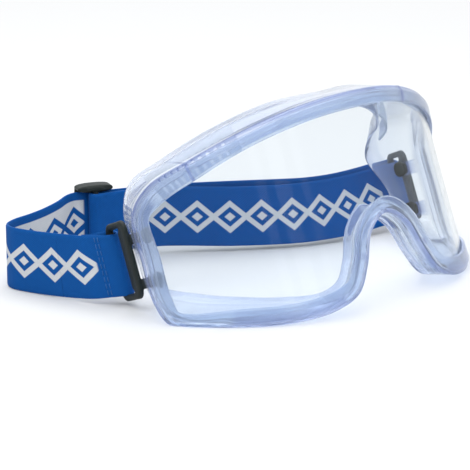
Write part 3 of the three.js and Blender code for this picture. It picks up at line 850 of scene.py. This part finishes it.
def swung(points, side):
    """Turned about the stems to where the strap holds the clip."""
    hinge = HINGE * np.array([side, 1, 1])
    return turned(np.asarray(points, float) - hinge, REST_SWING) + hinge


def rear_bar(side):
    """Middle of the clip's rear bar on the table, which the webbing runs round."""
    along = np.array([math.cos(RING_ANGLE), math.sin(RING_ANGLE)])
    x, y = RING_FRONT + RING_LENGTH * along
    return on_table(swung(np.array([[side * x, y, RING_Z]]), side))[0]


def ring_sweep():
    """The clip's ring: a rounded bar swept round a rounded rectangle, in x along the ring and z up."""
    half_l, half_h = RING_LENGTH / 2, (RING_HEIGHT - RING_RAIL) / 2
    path = []
    for k, (sx, sz) in enumerate(((1, 1), (-1, 1), (-1, -1), (1, -1))):
        centre = np.array([sx * (half_l - RING_CORNER), sz * (half_h - RING_CORNER)])
        for a in np.linspace(0, math.pi / 2, 7):
            angle = k * math.pi / 2 + a
            path.append(centre + RING_CORNER * np.array([math.cos(angle), math.sin(angle)]))
    path = np.array(path)
    dense = []
    for i in range(len(path)):
        a, b = path[i], path[(i + 1) % len(path)]
        parts = max(1, int(np.linalg.norm(b - a) / RING_MESH))
        dense += [a + (b - a) * k / parts for k in range(parts)]
    path = np.array(dense)
    along = np.roll(path, -1, 0) - np.roll(path, 1, 0)
    along /= np.linalg.norm(along, axis=1)[:, None]
    out = np.stack([along[:, 1], -along[:, 0]], -1)
    # bars are a little wider than the rails
    upright = np.abs(along[:, 1])
    wide = RING_RAIL + (RING_BAR - RING_RAIL) * upright
    wider = np.where(path[:, 0] < 0, FRONT_BAR_EXTRA, 0) * upright
    rings = []
    for p, o, w, more in zip(path, out, wide, wider):
        a, b = superellipse(16, w / 2 + more / 2, RING_THICK / 2, 3.2)
        a = a - more / 2 + (FRONT_BAR_FORWARD if more > 0 else 0) * more / FRONT_BAR_EXTRA
        rings.append(np.stack([p[0] + o[0] * a, b, p[1] + o[1] * a], -1))
    return rings


def build_clip(side):
    """One moulding: the ring, and two stems through the wall's slots with a rounded head on each."""
    shells = []
    ring = np.array(ring_sweep()) + np.array([RING_LENGTH / 2, 0, 0])
    ring = turned(ring, RING_ANGLE) + np.array([RING_FRONT[0], RING_FRONT[1], RING_Z])
    ring[..., 0] *= side
    shells.append((on_table(swung(ring, side)), True))
    head_out = -(WALL / 2 + HEAD_GAP + HEAD_THICK / 2)
    for dz in (-0.5, 0.5):
        z = STEM_Z + dz * STEM_SPACING
        stem = np.array(pad((STEM_WIDTH, BAR_OUTWARD - head_out, STEM_HEIGHT), 3.5, 24, 0.2))
        stem = stem + np.array([0, (BAR_OUTWARD + head_out) / 2, z])
        head = np.array(pad((HEAD_RADIUS * HEAD_SHAPE, HEAD_THICK, HEAD_RADIUS * 2), 2.5, 32, 0.5))
        head = head + np.array([side * HEAD_FORWARD, head_out, z])
        for part in (stem, head):
            part = turned(part, wall_turn(side)) + HINGE * np.array([side, 1, 1])
            shells.append((on_table(swung(part, side)), False))
    which = "left" if side > 0 else "right"
    obj = moulded(shells_object("clip_" + which, shells, NYLON), 0.24, 3)
    return fitted(obj, which + "_clip", which + "_clip")


# ---------------------------------------------------------------- slider
RUN = np.array([SLIDER_END[0] - SLIDER_START[0], SLIDER_END[1] - SLIDER_START[1]], float)
RUN_TURN = math.atan2(RUN[1], RUN[0])
SLIDER_Y = SLIDER_START[1] + (SLIDER_X - SLIDER_START[0]) * RUN[1] / RUN[0]
SLIDER_CENTRE = np.array([SLIDER_X, SLIDER_Y, SLIDER_Z])
HALF = STRAP_THICK / 2
OUTER_FACE = HALF + SLIDER_GAP
CENTRE_FACE = HALF + 2 * SLIDER_GAP + STRAP_THICK


def on_run(points):
    """Slider's own frame, x along the strap and y out of it, to the table."""
    return turned(points, RUN_TURN) + SLIDER_CENTRE


def block(x0, x1, y0, y1, z0, z1, power, edge):
    """A pill-edged block between the given faces, as rings of points."""
    rings = np.array(pad((x1 - x0, y1 - y0, z1 - z0), power, 28, edge))
    return rings + np.array([(x0 + x1) / 2, (y0 + y1) / 2, (z0 + z1) / 2])


def build_slider():
    """A tri-glide: two rails above and below the webbing, two bars outside it and a centre bar behind."""
    reach = SLIDER_LENGTH / 2
    window = STRAP_WIDTH / 2 + SLIDER_GAP
    top = SLIDER_HEIGHT / 2
    lowest = -CENTRE_FACE - SLIDER_SIDE
    shells = []
    for sign in (-1, 1):
        z0, z1 = sorted((sign * window, sign * top))
        shells.append(block(-reach, reach, lowest, OUTER_FACE + SLIDER_SIDE, z0, z1, 2.6, 0.9))
    low, high = -top + 1, top - 1
    for x in (-reach, reach - SLIDER_BAR):
        shells.append(block(x, x + SLIDER_BAR, OUTER_FACE, OUTER_FACE + SLIDER_SIDE, low, high, 5, 0.5))
    shells.append(block(-SLIDER_BAR / 2, SLIDER_BAR / 2, lowest, -CENTRE_FACE, low, high, 4, 0.5))
    shells = [(on_run(rings), False) for rings in shells]
    obj = moulded(shells_object("slider_body", shells, NYLON), 0.26, 4)
    return fitted(obj, "slider", "slider")


# ---------------------------------------------------------------- strap
LEAN_SCALE = 10  # leans share a curve with millimetres, so they are brought to a like size
STRIP_SAMPLES = 24000
# Beside the near strand, as distance from the right clip's bar and offset out of the strand's face
SEWN_TAIL = [(11.5, -0.64), (8.5, -0.7), (5.6, -1.35), (3.4, -2.3)]
OUTER_START = [(3.4, 2.3), (5.6, 1.35), (8.5, 0.7), (11.5, 0.55), (15, 0.2)]
RIGHT_TURN = (-95, -265)  # degrees round the right clip's bar, from the strand's heading
LEFT_TURN = (90, -90)  # degrees round the left clip's bar, in plan
# Round the slider's centre bar, in the slider's own frame
WRAP = [
    (11, -3.5), (7.5, -4.05), (4, -4.7), (1.4, -5.35), (-0.8, -5.3), (-2.15, -4.3), (-2.3, -3.1),
    (-1.6, -1.85), (0.4, -1.5), (3.2, -1.95), (5.4, -2.6), (7.3, -2.78),
]


def distances(p):
    """How far along a line of points each of them is."""
    return np.concatenate([[0], np.cumsum(np.linalg.norm(np.diff(p[:, :3], axis=0), axis=1))])


def at_length(length, gone, p):
    """The points at a distance, or distances, along a line of points that lie at the distances gone."""
    return np.stack([np.interp(length, gone, p[:, k]) for k in range(p.shape[1])], -1)


def strand_offsets(path, beside):
    """Points beside the path's start: at each distance along it, moved out of its face by the offset."""
    p = catmull([q[:3] + (q[3] * LEAN_SCALE,) for q in path], np.linspace(0, 1, 400), False)
    gone = distances(p)
    out = []
    for length, offset in beside:
        q = at_length(length, gone, p)
        a = (at_length(length + 0.5, gone, p) - at_length(length - 0.5, gone, p))[:2]
        a /= np.linalg.norm(a)
        out.append((q[0] - a[1] * offset, q[1] + a[0] * offset, q[2], q[3] / LEAN_SCALE))
    return out


def loop_round(bar, start, stop, steps):
    """Webbing's middle round a clip's bar, between two angles in plan, leaning as far as the goggles do."""
    angles = np.radians(np.linspace(start, stop, steps))
    x, y, z = bar
    return [(x + BAR_LOOP * math.cos(a), y + BAR_LOOP * math.sin(a), z, 1) for a in angles]


RIGHT_BAR, LEFT_BAR = rear_bar(-1), rear_bar(1)


def strip_points():
    """The whole strip of webbing, from the sewn end at the right clip to the sewn end round the slider."""
    start = [tuple(RIGHT_BAR) + (1,)] + BAND_PATH[1:]
    away = math.degrees(math.atan2(BAND_PATH[1][1] - RIGHT_BAR[1], BAND_PATH[1][0] - RIGHT_BAR[0]))
    tail = strand_offsets(start, SEWN_TAIL)
    loop = loop_round(RIGHT_BAR, away + RIGHT_TURN[0], away + RIGHT_TURN[1], 7)
    outer = strand_offsets(start, OUTER_START)
    left = loop_round(LEFT_BAR, *LEFT_TURN, 8)
    wrap = [tuple(on_run(np.array([x, y, 0.0]))) + (0,) for x, y in WRAP]
    return tail + loop + outer + BAND_PATH[2:] + left + RETURN_PATH + wrap


def strip_samples():
    """The strip's rows of yarn: distance along, middle, and the directions up and out of its face."""
    control = [(x, y, z, lean * LEAN_SCALE) for x, y, z, lean in strip_points()]
    p = catmull(control, np.linspace(0, 1, STRIP_SAMPLES), False)
    gone = distances(p)
    count = int(gone[-1] / (ROW_STEP / 2)) // 2 * 2
    s = np.linspace(0, gone[-1], count + 1)
    q = at_length(s, gone, p)
    along = unit(np.gradient(q[:, :3], axis=0))
    lean = LEAN * q[:, 3] / LEAN_SCALE
    up = np.stack([0 * lean, np.sin(lean), np.cos(lean)], -1)
    face = unit(np.cross(up, along))  # away from the head on the near strand
    return s, q[:, :3], up, face


PINCH = 0.9
PINCH_REACH = 7


def width_at(points):
    """The webbing is pinched a little where it goes through a clip."""
    pinch = np.zeros(len(points))
    for bar in (RIGHT_BAR, LEFT_BAR):
        far = np.linalg.norm(points[:, :2] - bar[:2], axis=1)
        pinch = np.maximum(pinch, np.exp(-((far / PINCH_REACH) ** 2)))
    return STRAP_WIDTH - PINCH * pinch


STRIP = strip_samples()


def nearest_length(x, y, after=0.0):
    """How far along the strip, beyond a given length, it comes nearest to a place in plan."""
    s, p, _, _ = STRIP
    d = np.hypot(p[:, 0] - x, p[:, 1] - y) + np.where(s < after, 1e6, 0)
    return s[int(np.argmin(d))]


PRINT_EDGE = 0.6


def build_strip(name, start, stop, replaces, printed):
    """The strip between two lengths along it, one closed mesh with real yarn relief."""
    s, p, up, face = STRIP
    keep = np.where((s >= start - 1e-6) & (s <= stop + 1e-6))[0]
    s, p, up, face = s[keep], p[keep], up[keep], face[keep]
    n = COLUMNS + 1
    v = np.linspace(-0.5, 0.5, n)
    selvedge = 1 - 0.5 * np.clip((np.abs(v) - 0.475) / 0.025, 0, 1) ** 2
    checker = (-1.0) ** (np.arange(n)[None, :] + keep[:, None])
    bumps = WEAVE_HEIGHT * checker * (np.abs(v) < 0.49)
    thick = (HALF * selvedge[None, :] + bumps)[..., None]
    across = v[None, :] * width_at(p)[:, None]
    middle = p[:, None] + up[:, None] * across[..., None]
    front, rear = middle + face[:, None] * thick, middle - face[:, None] * thick
    ring = np.concatenate([front, rear[:, ::-1]], 1)
    if start > 0:
        # a thin tongue reaches into the piece before, so that no gap shows between the two
        tongue = p[0] + (ring[0] - p[0]) * TONGUE_SIZE - unit(p[1] - p[0]) * TONGUE
        ring = np.concatenate([tongue[None], ring])
        s = np.concatenate([[s[0] - TONGUE], s])
        across = np.concatenate([across[:1], across])
    count = 2 * n
    obj = mesh_object(name, row(ring.reshape(-1, 3)), ring_faces(len(s), count, False, True), FACE)
    mesh = obj.data
    mesh.materials.append(REVERSE)
    on_reverse = [1 if n <= j < count - 1 else 0 for j in range(count)]
    mesh.polygons.foreach_set("material_index", on_reverse * (len(s) - 1) + [0, 0])
    weave_layers(mesh, s, across, printed)
    outward(obj)
    mesh.set_sharp_from_angle(angle=math.radians(55))
    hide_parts(*replaces)
    return obj


def weave_layers(mesh, s, across, printed):
    """Tells the webbing's material how far along and across each point is, and whether it is printed."""
    count = 2 * across.shape[1]
    first = min(printed, key=lambda span: max(span[0] - s[-1], s[0] - span[1]))[0]
    along = np.repeat(s - first + MOTIF_LENGTH / 4 + 10 * MOTIF_LENGTH, count)
    over = np.concatenate([across, across[:, ::-1]], 1).reshape(-1)
    share = np.zeros(len(s))
    for low, high in printed:
        edge = np.clip((s - low) / PRINT_EDGE, 0, 1) * np.clip((high - s) / PRINT_EDGE, 0, 1)
        share = np.maximum(share, edge)
    layer = mesh.uv_layers.new(name="yarn")
    index = np.zeros(len(mesh.loops), int)
    mesh.loops.foreach_get("vertex_index", index)
    layer.data.foreach_set("uv", np.stack([along[index], over[index]], -1).astype(np.float32).ravel())
    attribute = mesh.attributes.new("printed", "FLOAT", "POINT")
    attribute.data.foreach_set("value", np.repeat(share, count).astype(np.float32))


def metres(point):
    return tuple(row(np.array(point, float)))


def strip_position(length):
    """The strip's middle at a length along it, mm."""
    s, p, _, _ = STRIP
    return at_length(length, s, p)


STITCH_ROWS = (0, 1.3)
STITCH_STEP = 2.6
STITCH_HALF = 1.0
STITCH_ARCH = 0.42
STITCH_LIFT = 0.24
THREAD_RADIUS = 0.21


def stitches(name, length):
    """Rows of thread across the webbing, each stitch a small arched tube."""
    s, p, up, face = STRIP
    turn = np.arange(8) * math.pi / 4
    shells = []
    for offset in STITCH_ROWS:
        i = int(np.argmin(np.abs(s - (length + offset))))
        along = unit(np.cross(up[i], face[i]))
        circle = THREAD_RADIUS * (np.outer(np.cos(turn), along) + np.outer(np.sin(turn), face[i]))
        for v in np.arange(-4, 5) * STITCH_STEP:
            rings = []
            for w in np.linspace(-1, 1, 7):
                lift = HALF + STITCH_LIFT - STITCH_ARCH * w * w
                rings.append(p[i] + up[i] * (v + w * STITCH_HALF) + face[i] * lift + circle)
            shells.append((np.array(rings), False))
    obj = shells_object(name, shells, THREAD)
    return obj


AWAY = unit(np.array(BAND_PATH[1][:2]) - RIGHT_BAR[:2])
SEAM_POINT = RIGHT_BAR[:2] + AWAY * 4.4
SEWN_LENGTH = 17.0  # from the sewn end's raw edge to the outer strand
RETURN_SPLIT = 3  # the return layer's control point where its second piece starts
BEND_LENGTH = 22  # of the near strand, beyond the sewn end, mm along y
LOOP_MOUTH = (75.9, 81.3, 15.7)  # between the two strands that leave the left clip


def build_strap():
    """The strip in six pieces, and its sewing thread."""
    s_total = STRIP[0][-1]
    a_end = nearest_length(*BAND_PATH[2][:2]) - 2
    middle = nearest_length(*SLIDER_CENTRE[:2])
    band_end = nearest_length(*BAND_PATH[-1][:2], after=middle)
    return_start = nearest_length(*RETURN_PATH[0][:2], after=band_end + 4)
    return_mid = nearest_length(*RETURN_PATH[RETURN_SPLIT][:2], after=return_start)
    seam = nearest_length(*SEAM_POINT, after=SEWN_LENGTH)
    printed = [
        (seam + 2.5, middle - 4),
        (return_start + 2, return_start + 112),
        (middle + 24, middle + 24 + 3.5 * MOTIF_LENGTH),
    ]

    def piece(name, start, stop, replaces, bodies, bend_from, bend_to):
        obj = build_strip(name, start, stop, replaces, printed)
        metres(bend_from)
        metres(bend_to)
        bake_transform(obj)

    sewn = strip_position(a_end - 14), strip_position(a_end - 1)
    piece("strap_end_right", 0, a_end, ["right_strap_end"], ("right_clip", "frame"), *sewn)
    tack = stitches("stitches_right", seam)
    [metres(point) for point in sewn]
    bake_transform(tack)
    bend = strip_position(a_end)
    past = bend + np.array([0, BEND_LENGTH, 0])
    piece("strap_near", a_end, middle, ["strap_band"], ("frame", "strap"), bend, past)
    ends = strip_position(band_end), strip_position(band_end - 30)
    piece("strap_far", middle, band_end, ["strap_band"], ("frame", "strap"), *ends)
    ends = LEFT_BAR, LOOP_MOUTH
    piece("strap_loop_left", band_end, return_start, ["left_strap_loop"], ("left_clip", "frame"), *ends)
    ends = strip_position(return_start), strip_position(return_mid - 2)
    piece("return_far", return_start, return_mid, ["strap_return"], ("frame", "strap"), *ends)
    ends = strip_position(return_mid), on_run(np.array([*WRAP[0], 0.0]))
    nodes = ["strap_return", "slider_strap_end"]
    piece("return_near", return_mid, s_total, nodes, ("strap", "slider"), *ends)


build_frame()
build_lens()
for side in (-1, 1):
    build_vent(side)
for side in (-1, 1):
    build_clip(side)
build_slider()
build_strap()


# ---------------------------------------------------------------- stage, light and camera
FLOOR_HALF = 4.0
FLOOR_DROP = 0.0002  # below the feet, so that the two don't fight for the same plane


def build_stage():
    corners = [(x * FLOOR_HALF, y * FLOOR_HALF, 0) for x, y in ((-1, -1), (1, -1), (1, 1), (-1, 1))]
    floor = mesh_object("studio_floor", corners, [(0, 1, 2, 3)], floor_material())
    floor.location.z = -FLOOR_DROP


SKY_TOWARDS = (0.60, 0.60, 0.53)


def build_world():
    """Soft light, brighter from above and behind. The camera itself sees plain white."""
    world = bpy.data.worlds.new("studio")
    bpy.context.scene.world = world
    m = Nodes(world, "OutputWorld")
    dot = m.new("VectorMath")
    dot.operation = "DOT_PRODUCT"
    dot.inputs[1].default_value = SKY_TOWARDS
    m.link(m.new("TexCoord").outputs["Generated"], dot.inputs[0])
    glow = m.span(dot.outputs["Value"], -0.9, 0.6, 0.45, 1.05)
    lit = m.fill(m.new("Background"), Color=(0.97, 0.985, 1.0, 1), Strength=glow)
    seen = m.fill(m.new("Background"), Color=(1, 1, 1, 1), Strength=1.0)
    m.finish(m.between(m.new("LightPath").outputs["Is Camera Ray"], lit, seen))


# Narrow lights that the lens reflects towards the camera as hazy upright streaks: azimuth, width m, watts
STREAKS = [(-107, 0.10, 0.25), (-96, 0.16, 0.5), (-84, 0.09, 0.2)]
STREAK_RISE = math.radians(21)
STREAK_FAR = 1.2
STREAK_HEIGHT = 0.9


def area_light(name, location, target, size, power):
    data = bpy.data.lights.new(name, "AREA")
    data.shape, data.size, data.size_y = "RECTANGLE", *size
    data.energy = power
    obj = bpy.data.objects.new(name, data)
    bpy.context.scene.collection.objects.link(obj)
    obj.location = location
    obj.rotation_euler = (Vector(target) - Vector(location)).to_track_quat("-Z", "Y").to_euler()


def build_lights():
    area_light("key", (-0.5, -0.3, 0.9), (0, 0, 0.03), (0.7, 0.5), 5.0)
    area_light("top", (0.2, 0.3, 1.0), (0, 0, 0.03), (0.9, 0.9), 6.0)
    for k, (azimuth, width, power) in enumerate(STREAKS):
        turn = math.radians(azimuth)
        level = math.cos(STREAK_RISE)
        spot = Vector((math.cos(turn) * level, math.sin(turn) * level, math.sin(STREAK_RISE))) * STREAK_FAR
        area_light("strip_" + str(k), spot, (0, -0.05, 0.04), (width, STREAK_HEIGHT), power)


CAMERA_PLACE = (-660.65, -560.25, 267.33)  # drawing frame, mm
CAMERA_DOWN = 15.502  # degrees below level
CAMERA_TURN = -45.244
CAMERA_LENS = 180.64
CAMERA_SENSOR = 36.0


def build_camera():
    data = bpy.data.cameras.new("camera")
    data.sensor_width, data.lens = CAMERA_SENSOR, CAMERA_LENS
    data.clip_start, data.clip_end = 0.05, 20
    camera = bpy.data.objects.new("camera", data)
    bpy.context.scene.collection.objects.link(camera)
    camera.location = row(CAMERA_PLACE)
    camera.rotation_euler = (math.radians(90 - CAMERA_DOWN), 0, math.radians(CAMERA_TURN))
    bpy.context.scene.camera = camera


build_stage()
build_world()
build_lights()
build_camera()
scene = bpy.context.scene
scene.view_settings.view_transform = "Standard"
scene.cycles.max_bounces = 16
scene.cycles.transmission_bounces = 14
scene.cycles.transparent_max_bounces = 24
